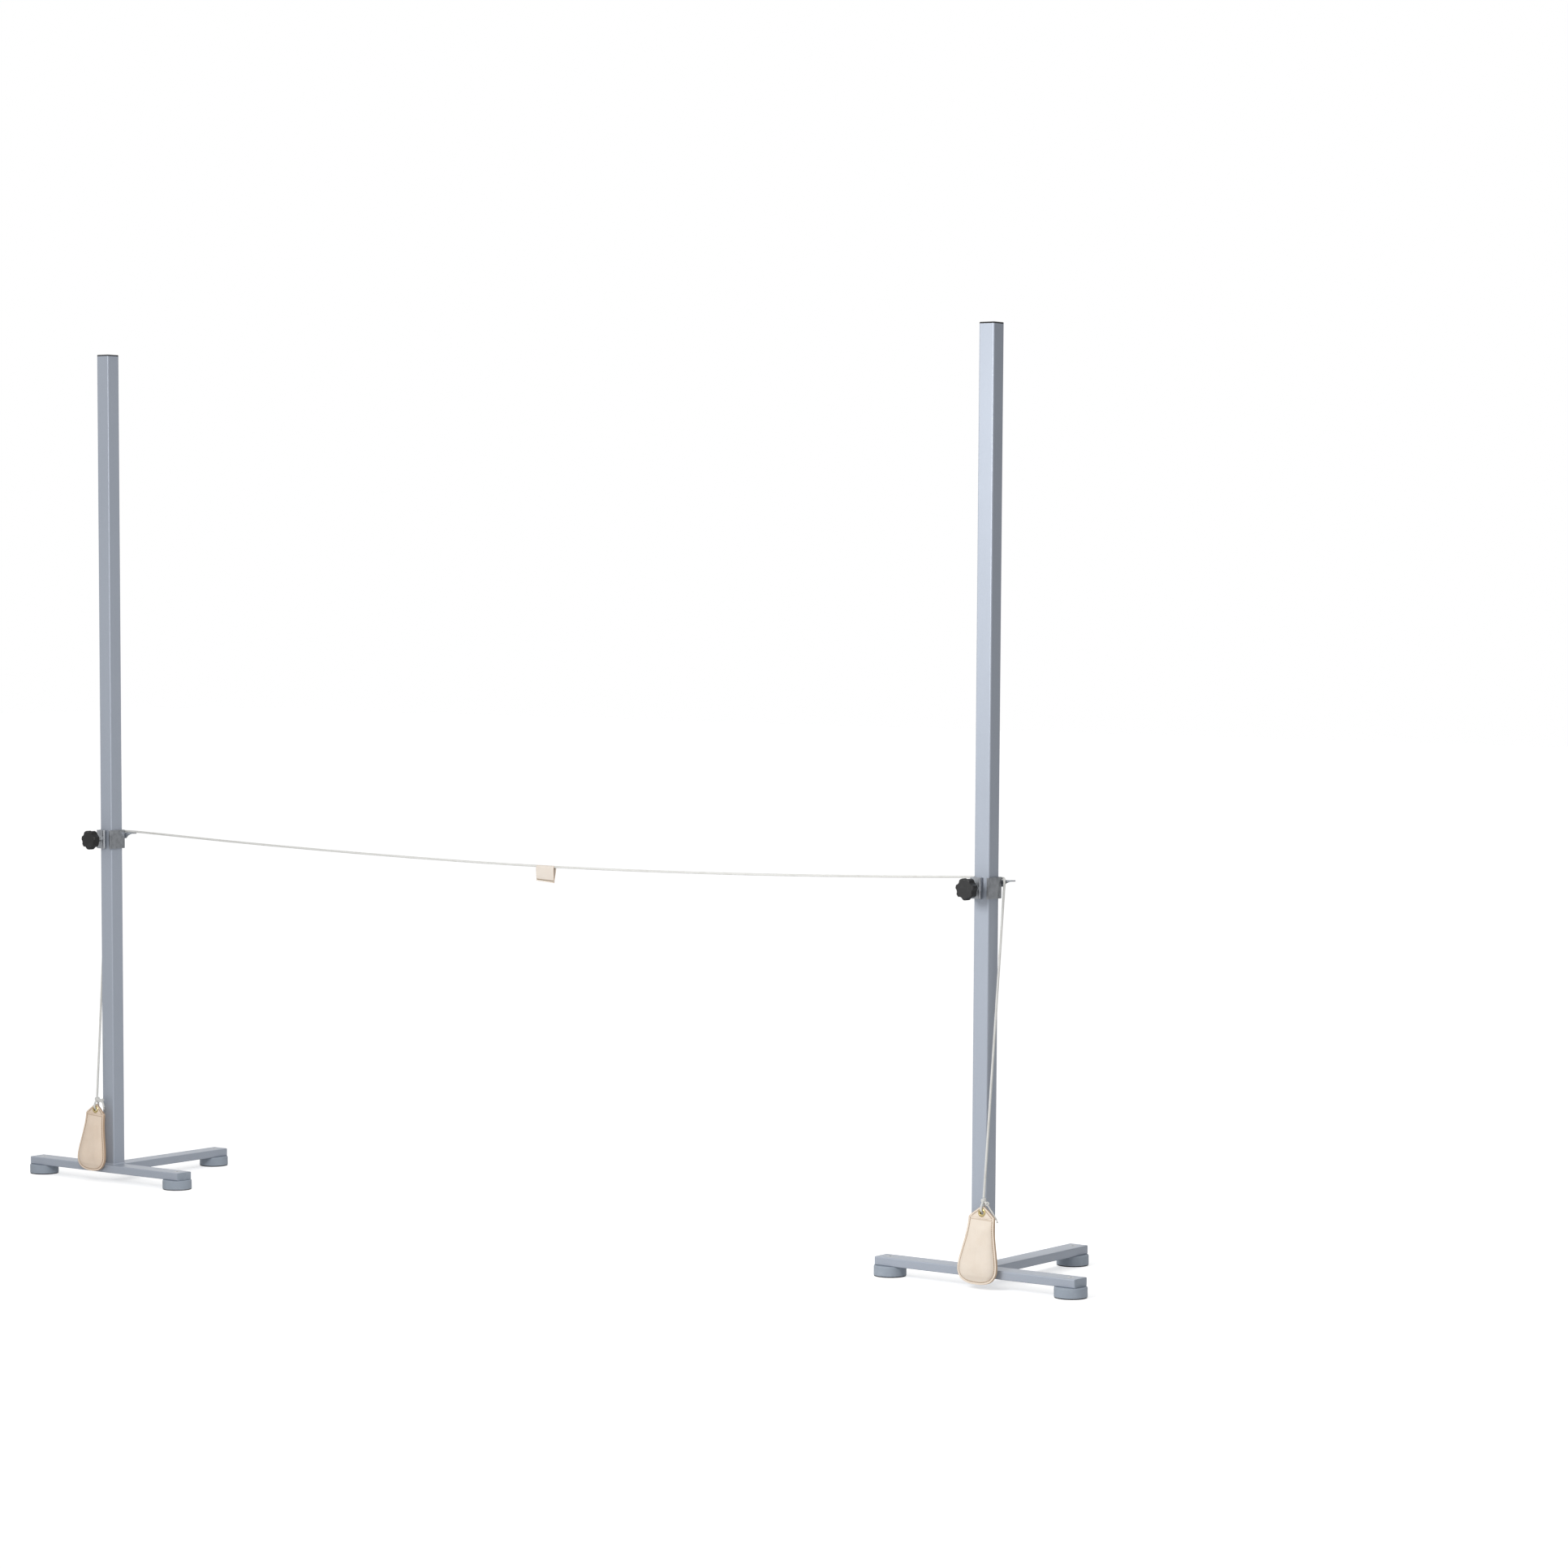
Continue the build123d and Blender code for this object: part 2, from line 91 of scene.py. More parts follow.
def add_camera():
    data = bpy.data.cameras.new("camera")
    data.lens = FOCAL_PIXELS / IMAGE_SIDE * data.sensor_width
    data.shift_y = (AXIS_PIXEL_Y - IMAGE_SIDE / 2) / IMAGE_SIDE
    data.clip_end = 100
    camera = into_scene("camera", data)
    camera.matrix_world = Matrix.Translation(CAMERA_PLACE) @ camera_turn().to_4x4()
    bpy.context.scene.camera = camera
    print("lens", round(data.lens, 1), "mm, shift", round(data.shift_y, 3))


add_camera()

# %% [markdown]
# ## Wiring materials with plain arithmetic
# A material is a small network of nodes. Written one by one they are hard to read, so a `Wire` wraps a node's
# output and lets `+`, `-` and `*` add the Math nodes, and a `Finish` holds one material while it is wired.
# Whatever is the same all over a surface is set on the shader's own socket.
# %% A wrapper for sockets
MIX_COLOUR_INPUTS = (0, 6, 7)
MIX_COLOUR_OUTPUT = 2


class Wire:
    """A node's output, on which Python's operators stand for Math nodes."""

    def __init__(self, shader, socket):
        self.shader = shader
        self.socket = socket

    def maths(self, operation, *others):
        inputs = dict(enumerate((self, *others)))
        return self.shader.node("ShaderNodeMath", {"operation": operation}, inputs)

    def __add__(self, other):
        return self.maths("ADD", other)

    def __sub__(self, other):
        return self.maths("SUBTRACT", other)

    def __rsub__(self, other):
        return self.shader.node("ShaderNodeMath", {"operation": "SUBTRACT"}, {0: other, 1: self})

    def __mul__(self, other):
        return self.maths("MULTIPLY", other)

    __radd__ = __add__
    __rmul__ = __mul__

    def sine(self):
        return self.maths("SINE")

    def ramp(self, start, end):
        """0 up to start, 1 from end on, and smooth between them."""
        return self.shader.node(
            "ShaderNodeMapRange", {"interpolation_type": "SMOOTHSTEP"},
            {"Value": self, "From Min": start, "From Max": end})


class Shader:
    """A node tree while it is being wired."""

    def __init__(self, tree):
        self.tree = tree

    def node(self, kind, settings, inputs, output=0):
        made = self.tree.nodes.new(kind)
        for name, value in settings.items():
            setattr(made, name, value)
        for key, value in inputs.items():
            self.join(value, made.inputs[key])
        return Wire(self, made.outputs[output])

    def join(self, value, socket):
        if isinstance(value, Wire):
            self.tree.links.new(value.socket, socket)
        else:
            socket.default_value = value


class Finish(Shader):
    """A material, with the patterns that several finishes share."""

    def __init__(self, name, **constants):
        self.material = bpy.data.materials.new(name)
        self.material.use_nodes = True
        super().__init__(self.material.node_tree)
        self.surface = self.tree.nodes["Principled BSDF"]
        for socket, value in constants.items():
            self.surface.inputs[socket.replace("_", " ")].default_value = value

    def feed(self, **inputs):
        for name, value in inputs.items():
            self.join(value, self.surface.inputs[name.replace("_", " ")])

    def place(self, stretch=(1, 1, 1)):
        """Object coordinates, stretched along the axes."""
        origin = self.node("ShaderNodeTexCoord", {}, {}, output="Object")
        return self.node("ShaderNodeMapping", {}, {"Vector": origin, "Scale": stretch})

    def unwrapped(self, output):
        """The piece's own UV map: X goes round or across, Y runs along it."""
        uv = self.node("ShaderNodeTexCoord", {}, {}, output="UV")
        return self.node("ShaderNodeSeparateXYZ", {}, {"Vector": uv}, output=output)

    def painted_on(self, attribute):
        return self.node("ShaderNodeAttribute", {"attribute_name": attribute}, {}, output="Fac")

    def cloud(self, scale, detail=2.0, rough=0.5, stretch=(1, 1, 1)):
        return self.node("ShaderNodeTexNoise", {}, {
            "Vector": self.place(stretch), "Scale": scale, "Detail": detail, "Roughness": rough})

    def cells(self, scale):
        return self.node("ShaderNodeTexVoronoi", {}, {"Vector": self.place(), "Scale": scale})

    def between(self, mask, colour, other):
        values = dict(zip(MIX_COLOUR_INPUTS, (mask, colour, other)))
        return self.node("ShaderNodeMix", {"data_type": "RGBA"}, values, output=MIX_COLOUR_OUTPUT)

    def relief(self, height, depth):
        """Feeds a height in 0 to 1, which stands for that many metres, to the shader's normal."""
        bump = self.node("ShaderNodeBump", {}, {"Height": height, "Distance": depth, "Strength": 1.0})
        self.feed(Normal=bump)


def tone(red, green, blue):
    return (red, green, blue, 1.0)


# %% [markdown]
# ## Paint
# The tubes carry a smooth blue-gray silver paint. Sprayed paint is never quite flat: it has a fine
# orange-peel skin, tiny bright flakes and slow changes of gloss where hands and cloths have been. Long faint
# streaks run down the uprights where the sleeves have been slid.
# %% Paint on the tubes
def silver_paint():
    finish = Finish("silver_paint", Metallic=0.25, IOR=1.5)
    flakes = finish.cloud(1400, 1.0)
    drift = finish.cloud(3.0, 2.0)
    streaks = finish.cloud(160, 3.0, 0.6, (1, 1, 0.02))
    base = finish.between(drift, tone(0.375, 0.412, 0.478), tone(0.400, 0.440, 0.508))
    base = finish.between(flakes.ramp(0.52, 0.75) * 0.35, base, tone(0.56, 0.60, 0.66))
    base = finish.between(streaks.ramp(0.60, 0.80) * 0.16, base, tone(0.30, 0.33, 0.38))
    finish.feed(Base_Color=base)
    finish.feed(Roughness=0.30 + finish.cloud(14, 3.0) * 0.12 + streaks * 0.04)
    finish.relief(finish.cloud(420, 1.5) + flakes * 0.25, 0.06 * MM)
    return finish.material


paint = silver_paint()
print("wired", paint.name, "with", len(paint.node_tree.nodes), "nodes")

# %% [markdown]
# ## Moulded plastic and rubber
# The feet and tube plugs are moulded in gray plastic, the caps and knobs in black. Moulded plastic has a fine
# grain from the tool, seen as a soft sparkle in its gloss, and paler rubbed patches. The soles are plain
# rubber.
# %% Plastic and rubber
def plastic(name, colour, rubbed, roughness, grain=1500):
    finish = Finish(name, IOR=1.48)
    wear = finish.cloud(60, 4.0, 0.6)
    finish.feed(Base_Color=finish.between(wear.ramp(0.50, 0.78) * 0.5, colour, rubbed))
    finish.feed(Roughness=roughness + finish.cloud(25, 3.0) * 0.12)
    finish.relief(finish.cloud(grain, 2.0) + finish.cells(grain * 0.6) * 0.5, 0.05 * MM)
    return finish.material


gray_plastic = plastic("gray_plastic", tone(0.315, 0.36, 0.42), tone(0.40, 0.445, 0.50), 0.46)
cap_plastic = plastic("cap_plastic", tone(0.010, 0.0105, 0.012), tone(0.025, 0.026, 0.028), 0.66)
black_plastic = plastic("black_plastic", tone(0.011, 0.011, 0.0115), tone(0.030, 0.031, 0.033), 0.50)
sole_rubber = plastic("sole_rubber", tone(0.022, 0.022, 0.023), tone(0.07, 0.068, 0.065), 0.75, 900)

# %% [markdown]
# ## Zinc and brass
# The sleeves, rests, nuts and screws are zinc plated: a cloudy gray metal with small dull crystals and fine
# scratches along the way it slides. The brass of the eyelets is pressed and polished, a little tarnished.
# %% Metals
def zinc(name, colour, cloudy, roughness):
    finish = Finish(name, Metallic=0.92)
    crystals = finish.cells(420)
    haze = finish.cloud(70, 4.0, 0.62)
    scratches = finish.cloud(900, 2.0, 0.6, (1, 1, 0.03))
    base = finish.between(haze.ramp(0.35, 0.70), colour, cloudy)
    base = finish.between(crystals.ramp(0.15, 0.75) * 0.25, base, colour)
    finish.feed(Base_Color=base)
    finish.feed(Roughness=roughness + haze * 0.16 + scratches.ramp(0.55, 0.8) * 0.10)
    finish.relief(haze * 0.6 + scratches * 0.3, 0.07 * MM)
    return finish.material


def brass_finish():
    finish = Finish("brass", Metallic=1.0)
    tarnish = finish.cloud(220, 4.0, 0.6)
    base = finish.between(tarnish.ramp(0.45, 0.8), tone(0.62, 0.50, 0.24), tone(0.36, 0.27, 0.11))
    finish.feed(Base_Color=base)
    finish.feed(Roughness=0.20 + tarnish * 0.18)
    finish.relief(finish.cloud(900, 2.0), 0.03 * MM)
    return finish.material


sleeve_zinc = zinc("sleeve_zinc", tone(0.45, 0.47, 0.50), tone(0.30, 0.315, 0.34), 0.24)
screw_zinc = zinc("screw_zinc", tone(0.52, 0.53, 0.54), tone(0.40, 0.41, 0.42), 0.26)
brass = brass_finish()

# %% [markdown]
# ## Leather, thread and cord
# The bags and the marker are cut from thick undyed leather: pale, with tiny pores, soft blotches and a cut
# edge that is darker and fuzzier than the face. The pieces carry an attribute, `from_edge`, which holds how
# far a point of the face lies from the cut edge. The edge takes its tone from it, and so does a darker line
# along the pressed seam, which is painted shade in the seam's groove together with some dirt.
# %% Leather
SEAM_INSET = 4.8 * MM
SEAM_CORE = 0.2 * MM
EDGE_BAND = 0.9 * MM


def leather(name, face, blotch, edge, seam_shade_and_dirt_tone, seam_depth, seam_width):
    finish = Finish(name, IOR=1.45, Sheen_Weight=0.08)
    from_edge = finish.painted_on("from_edge")
    pores = finish.cells(1300)
    creases = finish.cloud(240, 5.0, 0.65)
    blotches = finish.cloud(26, 4.0, 0.6)
    base = finish.between(blotches.ramp(0.35, 0.75) * 0.8, face, blotch)
    base = finish.between((1 - pores.ramp(0.05, 0.32)) * 0.30, base, edge)
    # The darker line along the pressed seam is painted shade in its groove, with some dirt
    from_seam = (from_edge - SEAM_INSET).maths("ABSOLUTE")
    seam = 1 - from_seam.ramp(SEAM_CORE, seam_width)
    base = finish.between(seam * seam_depth, base, seam_shade_and_dirt_tone)
    base = finish.between(1 - from_edge.ramp(0.0, EDGE_BAND), base, edge)
    finish.feed(Base_Color=base)
    finish.feed(Roughness=0.50 + creases * 0.18)
    finish.relief(pores.ramp(0.0, 0.4) * 0.5 + creases, 0.12 * MM)
    return finish.material


right_leather = leather(
    "right_leather", tone(0.800, 0.710, 0.610), tone(0.76, 0.66, 0.55), tone(0.60, 0.44, 0.30),
    tone(0.46, 0.33, 0.22), 0.55, 2.2 * MM)
left_leather = leather(
    "left_leather", tone(0.83, 0.69, 0.56), tone(0.77, 0.625, 0.495), tone(0.52, 0.36, 0.24),
    tone(0.40, 0.27, 0.17), 0.55, 2.2 * MM)
marker_leather = leather(
    "marker_leather", tone(0.725, 0.66, 0.59), tone(0.69, 0.615, 0.54), tone(0.62, 0.46, 0.34),
    tone(0.22, 0.155, 0.07), 0.9, 1.5 * MM)


# %% Thread and cord
PLAITS_ROUND = 4
PLAIT_LENGTH = 5.0 * MM
YARNS_A_PLAIT = 3.0


def waxed_thread():
    finish = Finish("waxed_thread", Roughness=0.62)
    wax = finish.cloud(900, 2.0)
    finish.feed(Base_Color=finish.between(wax, tone(0.20, 0.115, 0.055), tone(0.33, 0.20, 0.10)))
    finish.relief(finish.cloud(2600, 2.0), 0.1 * MM)
    return finish.material


def cotton_cord():
    """UV X is turns round the cord and UV Y is metres along it, so the yarns cross the plaits on a slant."""
    finish = Finish("cotton_cord", Roughness=0.88, Sheen_Weight=0.15)
    around = finish.unwrapped("X") * (2 * pi * PLAITS_ROUND)
    along = finish.unwrapped("Y") * (2 * pi / PLAIT_LENGTH)
    yarns = ((around + along) * YARNS_A_PLAIT).sine() * ((around - along) * YARNS_A_PLAIT).sine()
    plaits = (around + along).sine() * (around - along).sine()
    soil = finish.cloud(30, 4.0, 0.6)
    base = finish.between(soil.ramp(0.45, 0.85), tone(0.72, 0.72, 0.695), tone(0.62, 0.61, 0.575))
    # The darker tone where the plait pattern dips is painted shade in the hollows between the plaits
    base = finish.between((0.5 - plaits * 0.5).ramp(0.65, 1.0) * 0.5, base, tone(0.46, 0.45, 0.42))
    finish.feed(Base_Color=base)
    finish.relief(yarns * 0.5 + finish.cloud(2200, 2.0) * 0.8, 0.15 * MM)
    return finish.material


thread = waxed_thread()
cord_cotton = cotton_cord()
print("materials", len(bpy.data.materials))

# %% [markdown]
# ## Finishes for the pieces that stay as measured
# Tubes, feet, caps and knobs are already right in the measured model, so they only take a finish. Each name
# below is the last part of a piece's name, and the left and right standards share it.
# %% Finishes by piece
SIDES = {"left": -1, "right": 1}
FINISHES = {
    "upright": paint, "crossbar": paint, "rear_leg": paint, "upright_cap": cap_plastic,
    "end_plugs": gray_plastic, "feet": gray_plastic, "foot_pads": sole_rubber, "foot_screws": screw_zinc,
    "slide_sleeve": sleeve_zinc, "cord_rest": sleeve_zinc, "weld_nut": screw_zinc,
    "pressure_pad": brass, "clamp_screw": screw_zinc, "knob": black_plastic, "grommet": brass,
}


def give(piece, material):
    piece.data.materials.clear()
    piece.data.materials.append(material)


for side in SIDES:
    for ending, material in FINISHES.items():
        give(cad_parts[f"{side}_{ending}"], material)
print("finished", len(FINISHES) * len(SIDES), "measured pieces")

# %% [markdown]
# ## Making pieces
# New pieces start from a bmesh operator and end in `add_piece`, which makes the object, lets it ride on its
# body and hides the measured pieces that it replaces. Three helpers do most of the shaping: `grid_on` makes a
# grid whose points are then moved by a formula, `add_tube` wraps such a grid round a line, and `eased` copies
# a measured piece and rounds its sharp edges, as plating and handling do on the real steel.
# %% Helpers for meshes
SMOOTH_LIMIT = radians(38)
FLAT_LIMIT = radians(1.0)
SHARP_LIMIT = radians(40)


def add_piece(name, bm, material, body, replaces=()):
    mesh = bpy.data.meshes.new(name)
    bmesh.ops.recalc_face_normals(bm, faces=bm.faces)
    bm.to_mesh(mesh)
    bm.free()
    mesh.shade_smooth()
    mesh.set_sharp_from_angle(angle=SMOOTH_LIMIT)
    mesh.materials.append(material)
    piece = into_scene(name, mesh)
    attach(piece, body)
    if replaces:
        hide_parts(*replaces)
    print(name, len(mesh.polygons), "faces")
    return piece


def grid_on(bm, columns, rows):
    """A grid to be shaped, as its vertices with their places u across and v along it, from 0 to 1."""
    made = bmesh.ops.create_grid(bm, x_segments=columns, y_segments=rows, size=0.5)["verts"]
    return [(vertex, round(vertex.co.x + 0.5, 6), round(vertex.co.y + 0.5, 6)) for vertex in made]


def add_tube(bm, line, radius, around, uv=None, relief=None):
    """A closed skin round a line of points. Radius is a number, or a function of the share of the length."""
    steps = len(line) - 1
    lengths = [0.0]
    for start, end in zip(line, line[1:]):
        lengths.append(lengths[-1] + (end - start).length)
    ways = [(line[min(i + 1, steps)] - line[max(i - 1, 0)]).normalized() for i in range(steps + 1)]
    first = ways[0].orthogonal().normalized()
    sides = [first]
    for way in ways[1:]:
        carried = sides[-1] - way * sides[-1].dot(way)
        sides.append(carried.normalized())

    def place(u, index):
        share = lengths[index] / lengths[-1]
        size = radius(share) if callable(radius) else radius
        if relief:
            size *= 1 + relief(u, lengths[index])
        side = sides[index]
        other = ways[index].cross(side)
        return line[index] + (side * cos(2 * pi * u) + other * sin(2 * pi * u)) * size

    rings = {0: [], steps: []}
    marks = {}
    for vertex, u, v in grid_on(bm, around, steps):
        index = round(v * steps)
        marks[vertex] = (u, lengths[index])
        if index in rings and u < 1 - 0.5 / around:
            rings[index].append((u, vertex))
        vertex.co = place(u, index)
    if uv is not None:
        for face in {face for vertex in marks for face in vertex.link_faces}:
            for loop in face.loops:
                loop[uv].uv = marks[loop.vert]
    bmesh.ops.remove_doubles(bm, verts=list(marks), dist=1e-7)
    for ring in rings.values():
        ends = [vertex for _, vertex in sorted(ring, key=lambda pair: pair[0]) if vertex.is_valid]
        if len(ends) > 2:
            bmesh.ops.contextual_create(bm, geom=ends)


def eased(node, width, name, material, body):
    """A copy of a measured piece with its sharp edges rounded, which replaces it."""
    bm = bmesh.new()
    bm.from_mesh(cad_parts[node].data)
    bmesh.ops.remove_doubles(bm, verts=bm.verts, dist=0.01 * MM)
    bmesh.ops.dissolve_limit(bm, angle_limit=FLAT_LIMIT, verts=bm.verts, edges=bm.edges)
    sharp = [edge for edge in bm.edges if len(edge.link_faces) == 2 and edge.calc_face_angle() > SHARP_LIMIT]
    bmesh.ops.bevel(
        bm, geom=sharp, offset=width, offset_type="OFFSET", segments=3, profile=0.5, affect="EDGES",
        clamp_overlap=True, material=-1)
    piece = add_piece(name, bm, material, body, [node])
    weighted = piece.modifiers.new("weighted", "WEIGHTED_NORMAL")
    weighted.keep_sharp = True


# %% [markdown]
# ## The sliding supports
# Each sleeve is a strip of 5 mm steel bent round the upright, with its ends left open at the front. The bent
# rest behind it is welded on, and so is the nut on its front. The edges were cut and then plated, so they are
# slightly round and catch the light, which is why they are eased here.
# %% Sleeves and rests
SLEEVE_EDGE, REST_EDGE = 1.2 * MM, 0.8 * MM

for side in SIDES:
    support = f"{side}_support"
    eased(f"{side}_slide_sleeve", SLEEVE_EDGE, f"{side}_sleeve", sleeve_zinc, support)
    eased(f"{side}_cord_rest", REST_EDGE, f"{side}_rest", sleeve_zinc, support)

# %% [markdown]
# ## Screw threads
# The stud of the knob is an M8 screw. Its thread is a small triangle of steel that climbs 1.25 mm in each
# turn. A spin with a rise per turn draws it: the outline of one ridge is carried round the screw's axis, and
# a plain core closes it inside.
# %% Clamp screws
SCREW_RADIUS = 4.0 * MM
SCREW_PITCH = 1.25 * MM
THREAD_DEPTH = 0.7 * MM
THREAD_FACETS = 24
BARE_TURNS = 2                      # turns without a thread at the ends
CREST = (0.44, 0.56)                # where the ridge's blunt crest starts and ends, as shares of the pitch
MERGED = 0.02 * MM


def threaded_stud(side):
    low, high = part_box(f"{side}_clamp_screw")
    centre_x, centre_z = (low.x + high.x) / 2, (low.z + high.z) / 2
    length = high.y - low.y
    turns = ceil(length / SCREW_PITCH) - BARE_TURNS
    root = SCREW_RADIUS - THREAD_DEPTH
    bm = bmesh.new()
    profile = [(root, 0.0), *((SCREW_RADIUS, SCREW_PITCH * share) for share in CREST), (root, SCREW_PITCH)]
    points = [bm.verts.new((radius, 0, rise)) for radius, rise in profile]
    edges = [bm.edges.new(pair) for pair in zip(points, points[1:])]
    bmesh.ops.spin(
        bm, geom=points + edges, cent=(0, 0, 0), axis=(0, 0, 1), dvec=(0, 0, SCREW_PITCH / THREAD_FACETS),
        angle=2 * pi * turns, steps=THREAD_FACETS * turns, use_merge=False)
    bmesh.ops.remove_doubles(bm, verts=bm.verts, dist=MERGED)
    core = root + MERGED
    made = bmesh.ops.create_cone(
        bm, cap_ends=True, segments=THREAD_FACETS, radius1=core, radius2=core, depth=length)
    bmesh.ops.translate(bm, verts=made["verts"], vec=(0, 0, length / 2))
    turn = Matrix.Rotation(radians(90), 4, "X")
    bmesh.ops.transform(bm, matrix=Matrix.Translation((centre_x, high.y, centre_z)) @ turn, verts=bm.verts)
    add_piece(f"{side}_stud", bm, screw_zinc, f"{side}_clamp", [f"{side}_clamp_screw"])


for side in SIDES:
    threaded_stud(side)

# %% [markdown]
# ## The cord
# One white braided cord runs from the left bag up behind the left sleeve, over both rests and down to the
# right bag. The bags pull its two drops straight, and the span sags a little under its own weight and the
# marker. Its route is a smooth NURBS spline through listed points, and the cord's skin follows points
# read from that spline. Small bumps in the skin are the plaits of the braid.
# %% The cord's route
AXIS_Y = (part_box("left_upright")[0].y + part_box("left_upright")[1].y) / 2
CORD_RADIUS = 2.75 * MM
# From the left knot up to the rest's edge, along the rest, over the span and down again, in millimetres
ROUTE = [
    (-1392.47, -37.08, 222.94), (-1403.45, 19.68, 885.63), (-1404.0, 22.5, 918.5), (-1388.0, 33.5, 916.8),
    (-1316.0, 33.2, 916.7), (-1244.0, 33.2, 914.1), (-900.0, 33.2, 901.5), (-420.0, 33.2, 889.8),
    (70.0, 33.2, 884.5), (560.0, 33.2, 890.8), (980.0, 33.2, 902.8), (1244.0, 33.2, 913.6),
    (1316.0, 33.2, 916.7), (1388.0, 33.5, 916.8), (1404.0, 22.5, 918.5), (1403.57, 19.79, 885.61),
    (1394.80, -36.16, 205.89)]


def nurbs_line(points, resolution):
    """Points read from a smooth spline with these control points, all in metres."""
    curve = bpy.data.curves.new("route", "CURVE")
    curve.dimensions = "3D"
    spline = curve.splines.new("NURBS")
    spline.points.add(len(points) - 1)
    for control, point in zip(spline.points, points):
        control.co = (*point, 1.0)
    spline.order_u = 3
    spline.use_endpoint_u = True
    spline.resolution_u = resolution
    holder = bpy.data.objects.new("route", curve)
    mesh = bpy.data.meshes.new_from_object(holder)
    line = [vertex.co.copy() for vertex in mesh.vertices]
    bpy.data.objects.remove(holder)
    bpy.data.meshes.remove(mesh)
    return line


def evenly(line, step):
    """The same line with points a step apart."""
    kept = [line[0]]
    left = step
    for start, end in zip(line, line[1:]):
        run = (end - start).length
        while run >= left:
            start = start + (end - start).normalized() * left
            kept.append(start)
            run -= left
            left = step
        left -= run
    return kept + [line[-1]]


def in_frame(point):
    """From millimetres about the uprights' axes to metres in the frame."""
    return Vector((point[0] * MM, AXIS_Y + point[1] * MM, point[2] * MM))


cord_line = nurbs_line([in_frame(point) for point in ROUTE], 64)
cord_line = evenly(cord_line, PLAIT_LENGTH / 4)
cord_length = sum((end - start).length for start, end in zip(cord_line, cord_line[1:]))
print("cord", round(cord_length, 3), "m in", len(cord_line), "rings")


# %% The cord's skin
PLAIT_HEIGHT = 0.05                 # as a share of the cord's radius
CORD_FACETS, KNOT_FACETS, THREAD_SIDES = 16, 12, 6


def plait(u, along):
    """How far the braid stands out from the mean radius, as a share of it."""
    around = 2 * pi * PLAITS_ROUND * u
    return PLAIT_HEIGHT * cos(around) * cos(2 * pi * along / PLAIT_LENGTH)


def whole_cord():
    bm = bmesh.new()
    uv = bm.loops.layers.uv.new("UVMap")
    add_tube(bm, cord_line, CORD_RADIUS, CORD_FACETS, uv, plait)
    return add_piece("cord_of_cotton", bm, cord_cotton, "cord", ["jump_cord"])


cord = whole_cord()

# %% [markdown]
# ## Knots
# Each end of the cord goes down the front of its bag, through the brass eyelet and up again behind, and is
# tied round itself. The short end is tied once more and left hanging. All of it is the same cord, so each
# knot is a few lengths of cord tied along listed points, about the middle of the eyelet.
# %% Tied lengths of cord
BAG_LEAN = {"left": 4.5, "right": 6.5}          # degrees, the lower end forward
BAG_ROLL = {"left": 3.5, "right": 1.5}          # degrees, the lower end to the left
POINTS_A_TURN = 8
KNOT_STEP = 0.9 * MM


def eyelet_turn(side):
    """From a bag's own frame, about the middle of its eyelet, to the object's frame."""
    low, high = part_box(f"{side}_grommet")
    lean = Matrix.Rotation(radians(-BAG_LEAN[side]), 4, "X")
    return Matrix.Translation((low + high) / 2) @ lean @ Matrix.Rotation(radians(BAG_ROLL[side]), 4, "Y")


def coil(centre, radius, rise, turns, tilt, start=0.0):
    """Points of a few turns of cord round a tilted axis, in millimetres."""
    count = round(turns * POINTS_A_TURN)
    turned = Matrix.Rotation(radians(tilt[0]), 3, "X") @ Matrix.Rotation(radians(tilt[1]), 3, "Y")
    points = []
    for step in range(count + 1):
        angle = start + 2 * pi * step / POINTS_A_TURN
        flat = Vector((radius * cos(angle), radius * sin(angle), rise * (step / count - 0.5)))
        points.append(Vector(centre) + turned @ flat)
    return points


# The loop through the eyelet, the knot's core, and each knot's lengths of cord with their radius
LOOP = [(0.4, -2.4, 24.0), (-0.6, -5.4, 17.0), (-0.4, -7.2, 8.5), (0, -5.9, 3.4), (0, 0, 2.0), (0, 5.9, 3.4),
        (0.4, 7.2, 8.5), (0.6, 5.4, 17.0), (-0.4, 2.4, 24.0)]
CORE = [(0, 0, 33.4), (0, 0, 29.0), (0.4, -0.3, 24.0), (0.2, 0.2, 20.5)]
KNOT_PARTS = {
    "left": [
        (LOOP, 2.5), (CORE, 2.6),
        (coil((0.5, 0, 27.6), 4.3, 6.4, 2.1, (12, 8)), 2.45),
        ([(3.0, -2.0, 24.5), (7.0, -1.5, 23.5), (12.0, -1.0, 24.0), (18.0, 0.0, 25.5)], 2.4),
        (coil((10.0, -1.0, 24.6), 3.2, 4.4, 1.5, (80, 20), 0.8), 2.4),
        (coil((18.6, 0.0, 25.8), 3.2, 4.4, 1.5, (60, -50), 1.7), 2.4),
        ([(18.0, 0.5, 25.5), (21.5, 0.5, 21.0), (24.0, 1.2, 14.5), (25.6, 1.8, 8.5)], 2.4)],
    "right": [
        (LOOP, 2.5), (CORE, 2.6),
        (coil((0, 0, 27.2), 4.1, 6.4, 2.1, (10, -12)), 2.45),
        ([(3.0, -1.0, 25.0), (6.5, 0.5, 23.0), (9.5, 1.5, 19.5), (12.0, 2.0, 16.0)], 2.4),
        (coil((9.5, 1.0, 20.5), 3.0, 4.4, 1.6, (55, 35), 0.5), 2.35),
        ([(11.0, 2.0, 17.5), (17.0, 4.5, 9.0), (24.0, 6.5, 0.0), (30.0, 7.5, -7.5),
          (34.0, 8.0, -12.5)], 1.75)],
}


